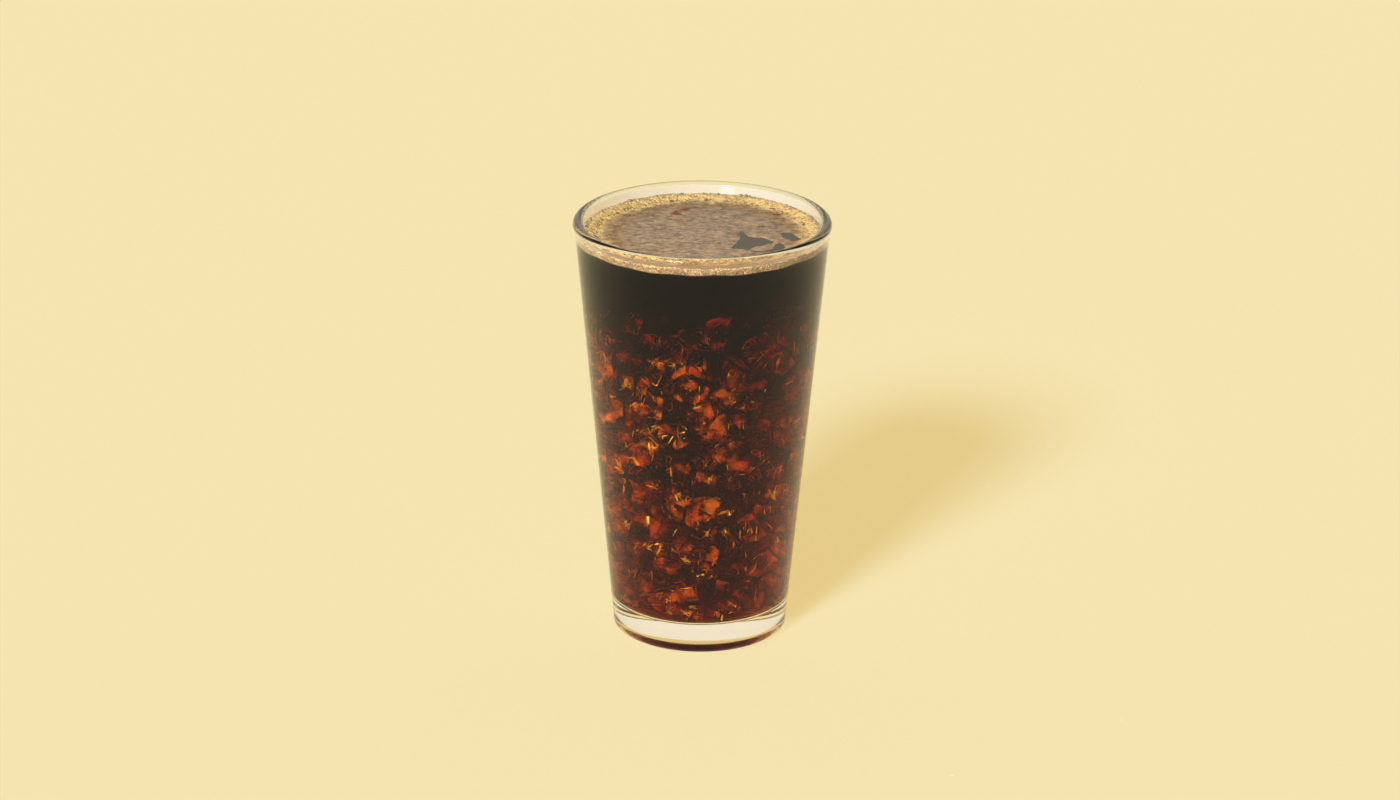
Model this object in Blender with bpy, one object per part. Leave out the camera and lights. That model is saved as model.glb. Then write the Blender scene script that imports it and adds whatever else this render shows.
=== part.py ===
# Iced coffee in a tapered pint glass: the glass, the drink and its foam.
# Metres, +Z up, origin at the centre of the glass's foot on the surface it stands on.
import math
import random

import bmesh
import bpy
from mathutils import Vector
from mathutils.geometry import interpolate_bezier

MM = 0.001

# The glass: a straight-sided sixteen-ounce mixing glass
GLASS_HEIGHT = 149.0 * MM
RIM_RADIUS = 44.45 * MM
RIM_ROUNDING = 1.82 * MM
SIDE_RADIUS_AT_FOOT = 29.88 * MM
SIDE_RADIUS_AT_TOP = 43.82 * MM
SIDE_TOP = 145.6 * MM
WALL = 3.1 * MM
FLOOR_HEIGHT = 10.0 * MM
FLOOR_CORNER = 4.5 * MM
FLOOR_DISH = 0.3 * MM
FOOT_ROUNDING = 2.0 * MM
FOOT_ROUNDING_HEIGHT = 2.6 * MM
FOOT_RING_WIDTH = 3.5 * MM
FOOT_RECESS = 1.2 * MM
FOOT_RECESS_SLOPE = 7.0 * MM

# The drink and the foam on it
GAP = 0.3 * MM
FOAM_TOP_MIDDLE = 143.9 * MM
FOAM_TOP_WALL = 145.0 * MM
FOAM_UNDER_MIDDLE = 143.1 * MM
FOAM_UNDER_WALL = 142.7 * MM
FOAM_RING_WIDTH = 5.2 * MM
FOAM_SWELL = 0.08 * MM
HEM_WAVE = 0.22 * MM

# Bubbles that stand out of the foam's ring and its middle
RING_BUBBLES = 54
RING_BUBBLE_RADII = (0.55 * MM, 1.0 * MM)
RING_BUBBLE_INSETS = (0.15 * MM, 3.6 * MM)
MIDDLE_BUBBLES = 16
MIDDLE_BUBBLE_RADII = (0.4 * MM, 0.55 * MM)
MIDDLE_SHARE = 0.84
SPIRAL_TURN = math.radians(137.5)
OPENING_MARGIN = 0.4 * MM
COARSE_BUBBLE_RADIUS = 0.8 * MM
BUBBLE_SEED = 12
WELD_DISTANCE = 0.004 * MM

GLASS_SEGMENTS = 64
DRINK_SEGMENTS = 56
FOAM_SEGMENTS = 72

# Openings in the foam where bare coffee shows, as (x, y) outlines in millimetres seen from above
FOAM_OPENINGS = {
    "wide": [(12.4, 1.5), (14.1, 1.7), (16.2, -3.2), (19.5, -3.7), (22.3, -5.5), (24.3, -7.7), (23.7, -10.4),
             (18.9, -12.9), (15.6, -17.0), (10.0, -14.9), (12.0, -6.9), (13.2, -3.5)],
    "right": [(26.2, 1.1), (28.3, 2.6), (30.6, 1.2), (32.1, -1.9), (33.8, -4.7), (33.1, -6.5),
              (30.9, -7.4), (28.6, -4.5)],
    "front": [(16.5, -18.1), (20.8, -18.1), (24.0, -15.7), (24.5, -11.5), (26.4, -9.4), (27.7, -11.2),
              (28.4, -14.4), (27.0, -17.5), (24.1, -19.4), (18.4, -19.4)],
    "small": [(19.2, 8.4), (20.8, 9.7), (22.4, 8.6), (21.0, 7.1)],
}


def clear_scene():
    for obj in list(bpy.data.objects):
        bpy.data.objects.remove(obj, do_unlink=True)


def smooth_step(low, high, value):
    """0 below low, 1 above high, and a smooth rise between them."""
    share = min(max((value - low) / (high - low), 0.0), 1.0)
    return share * share * (3.0 - 2.0 * share)


def outer_radius(z):
    """The glass's outer side, a straight cone."""
    return SIDE_RADIUS_AT_FOOT + (SIDE_RADIUS_AT_TOP - SIDE_RADIUS_AT_FOOT) * z / SIDE_TOP


def inner_radius(z):
    """The glass's inner side, which runs along the outer one."""
    return outer_radius(z) - WALL


def arc(centre_r, centre_z, radius, height, start, end, steps):
    """Points of an ellipse's arc in the (r, z) plane, angles in degrees from +r towards +z."""
    points = []
    for i in range(steps + 1):
        angle = math.radians(start + (end - start) * i / steps)
        points.append((centre_r + radius * math.cos(angle), centre_z + height * math.sin(angle)))
    return points


def floor_corner(shrink):
    """The rounded corner between the inner wall and floor, from the wall down, taken in by shrink."""
    centre_z = FLOOR_HEIGHT + FLOOR_CORNER
    centre_r = inner_radius(centre_z) - FLOOR_CORNER
    radius = FLOOR_CORNER - shrink
    return arc(centre_r, centre_z, radius, radius, -4.0, -86.0, 6)


def glass_profile():
    """Outline of the glass from the middle of its underside, up the outside and down the inside."""
    foot = outer_radius(FOOT_ROUNDING_HEIGHT) - FOOT_ROUNDING
    ring_inside = foot - FOOT_RING_WIDTH
    points = [(0.0, FOOT_RECESS), (ring_inside - FOOT_RECESS_SLOPE, FOOT_RECESS)]
    points.append((ring_inside - 0.7 * FOOT_RECESS_SLOPE, 0.85 * FOOT_RECESS))
    points.append((ring_inside - 0.3 * FOOT_RECESS_SLOPE, 0.2 * FOOT_RECESS))
    points.append((ring_inside, 0.0))
    points += arc(foot, FOOT_ROUNDING_HEIGHT, FOOT_ROUNDING, FOOT_ROUNDING_HEIGHT, -90.0, 0.0, 5)
    for share in (0.25, 0.5, 0.75, 1.0):
        z = FOOT_ROUNDING_HEIGHT + (SIDE_TOP - FOOT_ROUNDING_HEIGHT) * share
        points.append((outer_radius(z), z))
    rim_centre = GLASS_HEIGHT - RIM_ROUNDING
    points += arc(RIM_RADIUS - RIM_ROUNDING, rim_centre, RIM_ROUNDING, RIM_ROUNDING, -36.0, 180.0, 12)
    corner = floor_corner(0.0)
    for share in (0.0, 0.25, 0.5, 0.75):
        z = SIDE_TOP + (corner[0][1] - SIDE_TOP) * share
        points.append((inner_radius(z), z))
    points += corner
    points.append((0.5 * corner[-1][0], FLOOR_HEIGHT - 0.7 * FLOOR_DISH))
    points.append((0.0, FLOOR_HEIGHT - FLOOR_DISH))
    return points


def foam_under(radius):
    """Height of the foam's underside: thin in the middle, deep at the wall."""
    wall = inner_radius(FOAM_TOP_MIDDLE)
    share = smooth_step(wall - FOAM_RING_WIDTH, wall, radius)
    return FOAM_UNDER_MIDDLE + (FOAM_UNDER_WALL - FOAM_UNDER_MIDDLE) * share


def foam_over(radius, angle):
    """Height of the foam's top: it climbs to the wall and swells a little everywhere."""
    wall = inner_radius(FOAM_TOP_MIDDLE)
    share = smooth_step(wall - FOAM_RING_WIDTH, wall - 0.2 * FOAM_RING_WIDTH, radius)
    x, y = radius * math.cos(angle) / MM, radius * math.sin(angle) / MM
    swell = math.sin(0.31 * x + 0.9) * math.cos(0.27 * y - 0.4) + 0.6 * math.sin(0.71 * y + 0.33 * x)
    return FOAM_TOP_MIDDLE + (FOAM_TOP_WALL - FOAM_TOP_MIDDLE) * share + FOAM_SWELL * swell


def drink_profile():
    """Outline of the drink from the middle of its floor, up the wall and over its top."""
    points = [(0.0, FLOOR_HEIGHT - FLOOR_DISH + GAP)]
    corner = floor_corner(GAP)
    points.append((0.5 * corner[-1][0], FLOOR_HEIGHT - 0.7 * FLOOR_DISH + GAP))
    points += reversed(corner)
    top = FOAM_UNDER_WALL - GAP - HEM_WAVE
    for share in (0.25, 0.5, 0.75, 1.0):
        z = corner[0][1] + (top - corner[0][1]) * share
        points.append((inner_radius(z) - GAP, z))
    edge = points[-1][0]
    for share in (0.96, 0.92, 0.87, 0.6):
        radius = edge * share
        points.append((radius, foam_under(radius) - GAP - HEM_WAVE * (share > 0.9)))
    points.append((0.0, FOAM_UNDER_MIDDLE - GAP))
    return points


def material(name, colour, roughness, transmission=0.0, ior=1.45):
    made = bpy.data.materials.new(name)
    made.use_nodes = True
    shader = made.node_tree.nodes["Principled BSDF"]
    shader.inputs["Base Color"].default_value = (*colour, 1.0)
    shader.inputs["Roughness"].default_value = roughness
    shader.inputs["Metallic"].default_value = 0.0
    shader.inputs["Transmission Weight"].default_value = transmission
    shader.inputs["IOR"].default_value = ior
    return made


def new_object(name, mesh, looks, sharp_degrees):
    mesh.materials.append(looks)
    mesh.shade_smooth()
    mesh.set_sharp_from_angle(angle=math.radians(sharp_degrees))
    obj = bpy.data.objects.new(name, mesh)
    bpy.context.scene.collection.objects.link(obj)
    return obj


def turned(name, profile, segments, looks):
    """A solid of revolution about +Z from an outline whose two ends lie on the axis."""
    solid = bmesh.new()
    rows = []
    for radius, z in profile:
        if radius < 0.01 * MM:
            rows.append([solid.verts.new((0.0, 0.0, z))])
            continue
        angles = (2.0 * math.pi * i / segments for i in range(segments))
        rows.append([solid.verts.new((radius * math.cos(a), radius * math.sin(a), z)) for a in angles])
    for below, above in zip(rows, rows[1:]):
        for i in range(segments):
            j = (i + 1) % segments
            corners = [below[i % len(below)], below[j % len(below)], above[j % len(above)], above[i % len(above)]]
            solid.faces.new(list(dict.fromkeys(corners)))
    bmesh.ops.recalc_face_normals(solid, faces=solid.faces)
    mesh = bpy.data.meshes.new(name)
    solid.to_mesh(mesh)
    solid.free()
    return new_object(name, mesh, looks, 40.0)


def foam_rows():
    """Radii of the foam's rings of points as shares of its edge, closer together where the ring climbs."""
    return (0.22, 0.44, 0.64, 0.78, 0.87, 0.91, 0.95, 1.0)


def foam_disc(looks):
    """The foam before it is opened: a round layer whose hem at the wall waves up and down."""
    solid = bmesh.new()
    over_rows, under_rows = [], []
    over_middle = solid.verts.new((0.0, 0.0, foam_over(0.0, 0.0)))
    under_middle = solid.verts.new((0.0, 0.0, foam_under(0.0)))
    for share in foam_rows():
        over, under = [], []
        for i in range(FOAM_SEGMENTS):
            angle = 2.0 * math.pi * i / FOAM_SEGMENTS
            wave = HEM_WAVE * (math.sin(17.0 * angle) + math.sin(29.0 * angle + 1.0)) / 2.0
            edge_over = inner_radius(FOAM_TOP_WALL) - GAP
            edge_under = inner_radius(FOAM_UNDER_WALL) - GAP
            z_over = foam_over(edge_over * share, angle)
            z_under = foam_under(edge_under * share) + wave * smooth_step(0.88, 1.0, share)
            turn = Vector((math.cos(angle), math.sin(angle), 0.0))
            over.append(solid.verts.new(turn * edge_over * share + Vector((0.0, 0.0, z_over))))
            under.append(solid.verts.new(turn * edge_under * share + Vector((0.0, 0.0, z_under))))
        over_rows.append(over)
        under_rows.append(under)
    for rows, middle in ((over_rows, over_middle), (under_rows, under_middle)):
        for i in range(FOAM_SEGMENTS):
            j = (i + 1) % FOAM_SEGMENTS
            solid.faces.new((middle, rows[0][i], rows[0][j]))
            for inside, outside in zip(rows, rows[1:]):
                solid.faces.new((inside[i], outside[i], outside[j], inside[j]))
    for i in range(FOAM_SEGMENTS):
        j = (i + 1) % FOAM_SEGMENTS
        solid.faces.new((under_rows[-1][i], under_rows[-1][j], over_rows[-1][j], over_rows[-1][i]))
    bmesh.ops.recalc_face_normals(solid, faces=solid.faces)
    mesh = bpy.data.meshes.new("foam")
    solid.to_mesh(mesh)
    solid.free()
    return new_object("foam", mesh, looks, 50.0)


def rounded_outline(corners, steps=4):
    """A closed smooth curve through the corners, as points."""
    outline = []
    count = len(corners)
    for i, corner in enumerate(corners):
        before, here = Vector(corners[i - 1]), Vector(corner)
        after, beyond = Vector(corners[(i + 1) % count]), Vector(corners[(i + 2) % count])
        leaving, arriving = (after - before) / 6.0, (beyond - here) / 6.0
        outline += interpolate_bezier(here, here + leaving, after - arriving, after, steps + 1)[:-1]
    return outline


def foam_cutter(name, corners):
    """An upright plug with the outline of one opening, a helper that isn't part of the object."""
    solid = bmesh.new()
    low, high = FOAM_UNDER_WALL - 2.0 * MM, FOAM_TOP_WALL + 3.0 * MM
    outline = rounded_outline(corners)
    face = solid.faces.new([solid.verts.new((p.x * MM, p.y * MM, low)) for p in outline])
    raised = bmesh.ops.extrude_face_region(solid, geom=[face])["geom"]
    for vert in (v for v in raised if isinstance(v, bmesh.types.BMVert)):
        vert.co.z = high
    bmesh.ops.recalc_face_normals(solid, faces=solid.faces)
    mesh = bpy.data.meshes.new(name)
    solid.to_mesh(mesh)
    solid.free()
    return bpy.data.objects.new(name, mesh)


def in_outline(x, y, corners):
    """True if a point lies inside a closed outline of corners."""
    inside = False
    for (ax, ay), (bx, by) in zip(corners, corners[1:] + corners[:1]):
        if (ay > y) != (by > y) and x < (bx - ax) * (y - ay) / (by - ay) + ax:
            inside = not inside
    return inside


def clear_of_openings(x, y, margin):
    """True if a bubble of that margin at (x, y) would not hang over an opening."""
    for corners in FOAM_OPENINGS.values():
        for i in range(8):
            turn = math.pi * i / 4.0
            if in_outline((x + margin * math.cos(turn)) / MM, (y + margin * math.sin(turn)) / MM, corners):
                return False
    return True


def bubble_places():
    """(x, y, z, radius) of the bubbles: a jittered round of them on the ring, and a few in the middle."""
    draw = random.Random(BUBBLE_SEED)
    edge = inner_radius(FOAM_TOP_WALL) - GAP
    places = []
    for i in range(RING_BUBBLES):
        angle = 2.0 * math.pi * (i + draw.uniform(-0.3, 0.3)) / RING_BUBBLES
        size = draw.uniform(*RING_BUBBLE_RADII)
        radius = edge - size - draw.uniform(*RING_BUBBLE_INSETS)
        places.append((radius, angle, size))
    for i in range(MIDDLE_BUBBLES):
        size = draw.uniform(*MIDDLE_BUBBLE_RADII)
        radius = edge * MIDDLE_SHARE * math.sqrt((i + 0.5) / MIDDLE_BUBBLES)
        places.append((radius, i * SPIRAL_TURN + draw.uniform(-0.2, 0.2), size))
    found = []
    for radius, angle, size in places:
        x, y = radius * math.cos(angle), radius * math.sin(angle)
        apart = all(math.hypot(x - u, y - v) > size + other for u, v, _, other in found)
        if apart and clear_of_openings(x, y, size + OPENING_MARGIN):
            found.append((x, y, foam_over(radius, angle) - 0.1 * size, size))
    return found


def bubble_collection(foam):
    """The bubbles as low round meshes in a collection of their own."""
    collection = bpy.data.collections.new("bubbles")
    bpy.context.scene.collection.children.link(collection)
    for index, (x, y, z, size) in enumerate(bubble_places()):
        solid = bmesh.new()
        bmesh.ops.create_icosphere(solid, subdivisions=1 if size < COARSE_BUBBLE_RADIUS else 2, radius=size)
        mesh = bpy.data.meshes.new(f"bubble_{index}")
        solid.to_mesh(mesh)
        solid.free()
        bubble = bpy.data.objects.new(f"bubble_{index}", mesh)
        bubble.location = (x, y, z)
        bubble.rotation_euler = (0.3 * index, 0.5 * index, 0.7 * index)
        collection.objects.link(bubble)
    for bubble in collection.objects:
        bubble.data.materials.append(foam.data.materials[0])
    return collection


def apply_boolean(target, collection, operation, solver):
    """Joins or cuts with everything in the collection, then removes the collection's objects."""
    modifier = target.modifiers.new(operation.lower(), "BOOLEAN")
    modifier.operation = operation
    modifier.operand_type = "COLLECTION"
    modifier.collection = collection
    modifier.solver = solver
    bpy.context.view_layer.update()
    graph = bpy.context.evaluated_depsgraph_get()
    made = bpy.data.meshes.new_from_object(target.evaluated_get(graph))
    target.modifiers.remove(modifier)
    target.data = made
    for obj in list(collection.objects):
        bpy.data.objects.remove(obj, do_unlink=True)
    bpy.data.collections.remove(collection)


def weld(obj):
    """Merges points that a cut left almost on top of each other."""
    solid = bmesh.new()
    solid.from_mesh(obj.data)
    bmesh.ops.remove_doubles(solid, verts=solid.verts, dist=WELD_DISTANCE)
    bmesh.ops.dissolve_degenerate(solid, edges=solid.edges, dist=WELD_DISTANCE)
    bmesh.ops.triangulate(solid, faces=solid.faces)
    solid.to_mesh(obj.data)
    solid.free()


def open_foam(foam):
    """Cuts the openings where bare coffee shows, and fuses the bubbles on."""
    cutters = bpy.data.collections.new("openings")
    bpy.context.scene.collection.children.link(cutters)
    for name, corners in FOAM_OPENINGS.items():
        cutters.objects.link(foam_cutter(f"opening_{name}", corners))
    apply_boolean(foam, cutters, "DIFFERENCE", "EXACT")
    apply_boolean(foam, bubble_collection(foam), "UNION", "MANIFOLD")
    weld(foam)
    foam.data.shade_smooth()
    foam.data.set_sharp_from_angle(angle=math.radians(50.0))


def build():
    clear_scene()
    clear_glass = material("clear_glass", (0.95, 0.97, 0.96), 0.02, transmission=1.0, ior=1.5)
    black_coffee = material("black_coffee", (0.030, 0.012, 0.007), 0.08)
    tan_foam = material("tan_foam", (0.52, 0.33, 0.17), 0.6)
    turned("glass", glass_profile(), GLASS_SEGMENTS, clear_glass)
    turned("coffee", drink_profile(), DRINK_SEGMENTS, black_coffee)
    open_foam(foam_disc(tan_foam))


build()
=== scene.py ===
# Iced coffee in a pint glass: the looks of every piece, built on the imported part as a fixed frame.
import itertools
import math

import bmesh
import bpy
import numpy as np
from mathutils import Euler, Matrix, Vector


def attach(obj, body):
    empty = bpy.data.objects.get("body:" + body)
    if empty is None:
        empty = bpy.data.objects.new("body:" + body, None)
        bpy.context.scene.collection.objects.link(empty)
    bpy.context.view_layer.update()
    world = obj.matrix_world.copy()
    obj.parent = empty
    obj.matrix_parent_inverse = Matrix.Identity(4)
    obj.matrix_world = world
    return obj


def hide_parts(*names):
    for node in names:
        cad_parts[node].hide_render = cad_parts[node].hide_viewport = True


MM = 0.001

# The photograph's camera, fitted to the glass's outline
FOCAL_PIXELS = 5618.5
PHOTO_WIDTH = 1400
SENSOR_WIDTH = 36.0
CAMERA_DISTANCE = 1.95
CAMERA_ELEVATION = 0.354
CAMERA_ROLL = 0.0075
CAMERA_TARGET = (0.0, 0.0, 0.074)
AIM_RIGHT = -0.0002
AIM_UP = 0.0043

# The glass, with the same sizes as its solid
GLASS_HEIGHT = 149.0 * MM
RIM_RADIUS = 44.45 * MM
RIM_ROUNDING = 1.82 * MM
SIDE_RADIUS_AT_FOOT = 29.88 * MM
SIDE_RADIUS_AT_TOP = 43.82 * MM
SIDE_TOP = 145.6 * MM
WALL = 3.1 * MM
FLOOR_HEIGHT = 10.0 * MM
FLOOR_CORNER = 4.5 * MM
FLOOR_DISH = 0.3 * MM
FOOT_ROUNDING = 2.0 * MM
FOOT_ROUNDING_HEIGHT = 2.6 * MM
FOOT_RING_WIDTH = 3.5 * MM
FOOT_RECESS = 1.2 * MM
FOOT_RECESS_SLOPE = 7.0 * MM
GLASS_SEGMENTS = 224
GLASS_SHARP_ANGLE = 60.0

# The drink reaches this far into the glass, so that no air shows between them
REACH = 0.12 * MM
DRINK_TOP = 143.4 * MM
DRINK_SEGMENTS = 192
DRINK_SHARP_ANGLE = 10.0
BARE_COFFEE_TOP = 143.6 * MM
BARE_COFFEE_SEGMENTS = 96
BARE_COFFEE_COLOUR = (0.012, 0.006, 0.004)

# The foam: a thin film in the middle, a ring of bubbles that climbs the wall, and a hem of bubbles that
# shows through the glass
FOAM_TOP = 143.9 * MM
RING_TOP = 145.0 * MM
RING_WIDTH = 5.2 * MM
RING_CREST = 0.3
HEM_HEIGHT = 142.6 * MM
HEM_WAVE = 0.15 * MM
HEM_WAVES_ROUND = (7.0, 17.0)
HEM_BEADS = 0.16
HEM_LIFT = 0.6 * MM
FOAM_SEED = 12

# The film's grid, its waves and pits, and how it dips under the coffee at the openings
FILM_ROWS = 130
FILM_COLUMNS = 720
FILM_WAVES = (5.0 * MM, 2.2 * MM, 1.1 * MM)
FILM_WAVES_A_SIZE = 9
FILM_WAVE_SPREAD = (0.8, 1.3)
FILM_RELIEF = 0.10 * MM
FILM_PITS = 700
FILM_PIT_SIZES = (0.25 * MM, 0.9 * MM)
FILM_PIT_DEPTH = 0.10 * MM
FILM_PIT_FLOOR = 0.6
FILM_EDGE = 1.5 * MM
FILM_DEPTH = 0.24 * MM
OPENING_SLOPE = 1.3 * MM
OPENING_DIP = 0.08 * MM
OPENING_WANDER = 0.25 * MM

# The bubbles of the ring and of the hem, and the solid foam between them
RING_BUBBLES = 1900
RING_BUBBLE_SIZES = (0.18 * MM, 1.0 * MM)
RING_SINK = 0.65
RING_SPREAD = 1.2
RING_CROWDING = 1.8
HEM_BUBBLES = 2300
HEM_BUBBLE_SIZES = (0.24 * MM, 0.85 * MM)
BUBBLE_TRIES = 30
BUBBLE_SPACING = 0.82
FILM_REACH = 0.05 * MM
RING_REACH = 0.1 * MM
HEM_REACH = 0.08 * MM
FOAM_BODY_SEGMENTS = 192
FOAM_BODY_INSET = 0.3 * MM
FOAM_BODY_LIFT = 0.8 * MM
FOAM_BODY_SINKS = (0.2 * MM, 0.5 * MM)

# The foam's colours from the middle to the wall, and how the wet bubbles shine and glow
FILM_TAN = (0.38, 0.205, 0.118)
FILM_BROWN = (0.35, 0.165, 0.072)
RING_GOLD = (0.76, 0.40, 0.15)
HEM_CREAM = (0.40, 0.235, 0.115)
# The solid foam behind the bubbles is given a dark colour: painted shade in the gaps between them
HEM_PAINTED_SHADE = (0.15, 0.07, 0.03)
THIN_RED = (0.24, 0.045, 0.012)
FOAM_STOPS = [(0.0, FILM_TAN), (0.60, FILM_TAN), (0.78, FILM_BROWN), (0.90, RING_GOLD), (1.0, RING_GOLD)]
WATER_IOR = 1.33
FOAM_GLOW = (1.0, 0.6, 0.3)
FOAM_GLOW_WEIGHT = 0.5
FOAM_WANDER = 0.3
FOAM_BROAD_PATCH = 6.0 * MM
FOAM_FINE_PATCH = 1.7 * MM
FOAM_STREAKS = (0.65, 1.0, 1.0)
FOAM_STREAK_BOUNDS = (0.38, 0.62)
FILM_FRONT_LIGHT = 0.12
# Painted shade of small dimples: darker round spots set into the film's colour
DIMPLE_SPACING = 2.2 * MM
DIMPLE_PATCH = 5.0 * MM
DIMPLE_PATCH_BOUNDS = (0.45, 0.75)
DIMPLE_SIZES = (0.02, 0.25)
PAINTED_DIMPLE_SHADE = 0.5

# The ice: its pieces, the breaks and gaps that bound them, and the cracks, skins and edges that show
ICE_SEED = 7
ICE_PIECES = 820
ICE_TOP = 128.0 * MM
ICE_THINNING = 104.0 * MM
ICE_DIMMING = 104.0 * MM
ICE_SPACING = 4.6 * MM
ICE_MIDDLE_GAP = 1.0 * MM
ICE_SMALLEST = 2.0 * MM
ICE_MELTED_EDGES = (0.25 * MM, 0.6 * MM)
ICE_MERGE = 0.15 * MM
ICE_FLAT_ANGLE = 4.0
ICE_NEIGHBOURS = 16
ICE_FRONT_DEPTH = 11.0 * MM
ICE_GAPS = (0.4 * MM, 1.6 * MM)
ICE_INNER_GAPS = (1.2 * MM, 3.0 * MM)
ICE_WALL_GAPS = (0.5 * MM, 3.6 * MM)
ICE_WALL_SIDES = 3
ICE_WALL_TURN = 13.0
ICE_TOP_GAP = 7.0 * MM
ICE_BOTTOM_GAP = 1.3 * MM
ICE_BOTTOM_DIMMING = (10.0 * MM, 38.0 * MM)
ICE_TOP_BREAKS = (1.5 * MM, 6.0 * MM)
ICE_TOP_TILT = 0.6
ICE_FLOOR_GAP = 1.5 * MM
ICE_BREAKS = (0.5 * MM, 4.0 * MM)
ICE_MOST_BREAKS = 2

# A piece of ice has one of these numbers of cracks, each a thin curved lens with an uneven outline. The rings
# of points round a lens are given as shares of its reach and of its thickness.
CRACKS_A_PIECE = (0, 0, 1, 2, 4, 9, 18)
CRACK_RINGS = ((0.55, 0.8), (1.0, 0.0), (0.55, -0.8))
CRACK_SIZES = (0.5 * MM, 3.0 * MM)
CRACK_STRETCHES = (0.07, 0.3)
CRACK_THICKNESS = (0.05, 0.14)
CRACK_SIDES = (5, 9)
CRACK_JITTER = 0.3
CRACK_REACHES = (0.55, 1.0)
CRACK_POINT = 1.4
CRACK_CURVE = 0.35
CRACK_SPREAD = 0.6
CRACK_CENTRING = 0.35
CRACK_GOLD = (1.0, 0.68, 0.14)
CRACK_ROUGHNESS = 0.33
NEAR_CRACKS = 0.35
NEAR_CRACK_SIZE = 0.7
NEAR_CRACK_DEPTHS = (1.2 * MM, 3.2 * MM)

# Frosted skins on the ice's faces, and bright skins along its melted edges, each in patches
SKIN_CHANCE = 0.8
SKIN_INSET = 0.96
SKIN_COLOUR = (0.85, 0.17, 0.004)
SKIN_PATCHES = (6.0 * MM, 0.52, 0.70)
SKIN_MOST = 0.33
EDGE_COLOUR = (1.0, 0.60, 0.10)
EDGE_PATCHES = (4.0 * MM, 0.58, 0.64)
EDGE_MOST = 1.0
EDGE_WIDTH = 0.3 * MM
EDGE_STEPS = 3

# How strongly the surfaces bend, mirror and dim light; the ice is clear against the coffee round it
CLEAR = (1.0, 1.0, 1.0)
GLASS_IOR = 1.5
ICE_CONTRAST = 1.06
COFFEE_IOR = 1.34
GLASS_TINT = (0.985, 0.985, 0.98)
GLASS_SHINE = (0.62, 0.62, 0.80)
NO_SHINE = (0.05, 0.05, 0.05)
GLASS_SHADOW = (0.62, 0.62, 0.62)

# The glass's four kinds of face, and the lowest height of its wet ones
AIR_FACES, WET_FACES, MISTED_FACES, RIM_FACES = range(4)
WET_LOW = FLOOR_HEIGHT - 2.0 * MM

# Mist on the wall above the foam, thicker towards the back, and a painted reflection at the rim's edges: grey
# tinted into the rim's glass where it is seen at a slant, standing for the dark studio
MIST = 0.30
MIST_SIDES = (-10.0 * MM, 30.0 * MM)
MIST_TINT = (0.95, 0.81, 0.79)
MIST_LOW = 144.5 * MM
MIST_TOP = 148.1 * MM
RIM_PAINTED_GREY = (0.15, 0.27, 0.35)
RIM_PAINTED_GREY_SLANTS = (0.25, 0.85)
RIM_PAINTED_GREY_LOW = 147.2 * MM

# Light taken away per metre of coffee, for red, green and blue
COFFEE_ABSORPTION = (95.0, 240.0, 520.0)

# The floor, the sky round it by height in degrees, and the sun that stands for the key light
FLOOR_HALF_WIDTH = 6.0
FLOOR_COLOUR = (0.20, 0.20, 0.20)
FLOOR_GLOW = (0.745, 0.561, 0.214)
SKY = [(0.0, (0.93, 0.80, 0.60)), (28.0, (0.93, 0.80, 0.60)), (40.0, (0.12, 0.14, 0.15)),
       (90.0, (0.12, 0.14, 0.15))]
DIM_COLOUR = (0.07, 0.09, 0.10)
DIM_SIDES = (0.5, 0.0)
DIM_HEIGHTS = (0.2, 2.5)
KEY_DIRECTION = (-0.35, -0.75, 0.56)
KEY_STRENGTH = 5.2
KEY_COLOUR = (0.73, 0.96, 1.0)
KEY_SPREAD = math.radians(12.0)

# Openings in the foam where bare coffee shows, as (x, y) outlines in millimetres seen from above
FOAM_OPENINGS = {
    "wide": [(12.4, 1.5), (14.1, 1.7), (16.2, -3.2), (19.5, -3.7), (22.3, -5.5), (24.3, -7.7), (23.7, -10.4),
             (18.9, -12.9), (15.6, -17.0), (10.0, -14.9), (12.0, -6.9), (13.2, -3.5)],
    "right": [(26.2, 1.1), (28.3, 2.6), (30.6, 1.2), (32.1, -1.9), (33.8, -4.7), (33.1, -6.5),
              (30.9, -7.4), (28.6, -4.5)],
    "front": [(16.5, -18.1), (20.8, -18.1), (24.0, -15.7), (24.5, -11.5), (26.4, -9.4), (27.7, -11.2),
              (28.4, -14.4), (27.0, -17.5), (24.1, -19.4), (18.4, -19.4)],
    "small": [(19.2, 8.4), (20.8, 9.7), (22.4, 8.6), (21.0, 7.1)],
}

# Spots where the foam is so thin that the coffee tints it red, as outlines of the same kind. The tint starts
# outside an outline and is full inside it, by these distances in millimetres.
THIN_SPOT_EDGE = (-0.9, 0.3)
THIN_SPOTS = {
    "back left": [(-10.9, 21.1), (-9.2, 23.6), (-7.1, 20.1), (-9.2, 19.5)],
    "back": [(-8.0, 25.9), (-5.0, 27.4), (-5.3, 24.8)],
    "back right": [(24.3, 21.4), (27.5, 22.0), (25.8, 19.2)],
}


def link(obj):
    bpy.context.scene.collection.objects.link(obj)
    return obj


def outer_radius(z):
    return SIDE_RADIUS_AT_FOOT + (SIDE_RADIUS_AT_TOP - SIDE_RADIUS_AT_FOOT) * z / SIDE_TOP


def inner_radius(z):
    return outer_radius(z) - WALL


def smooth_step(low, high, value):
    share = np.clip((value - low) / (high - low), 0.0, 1.0)
    return share * share * (3.0 - 2.0 * share)


def arc(centre_r, centre_z, radius, height, start, end, steps):
    """Points of an ellipse's arc in the (r, z) plane, angles in degrees from +r towards +z."""
    points = []
    for i in range(steps + 1):
        angle = math.radians(start + (end - start) * i / steps)
        points.append((centre_r + radius * math.cos(angle), centre_z + height * math.sin(angle)))
    return points


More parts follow.
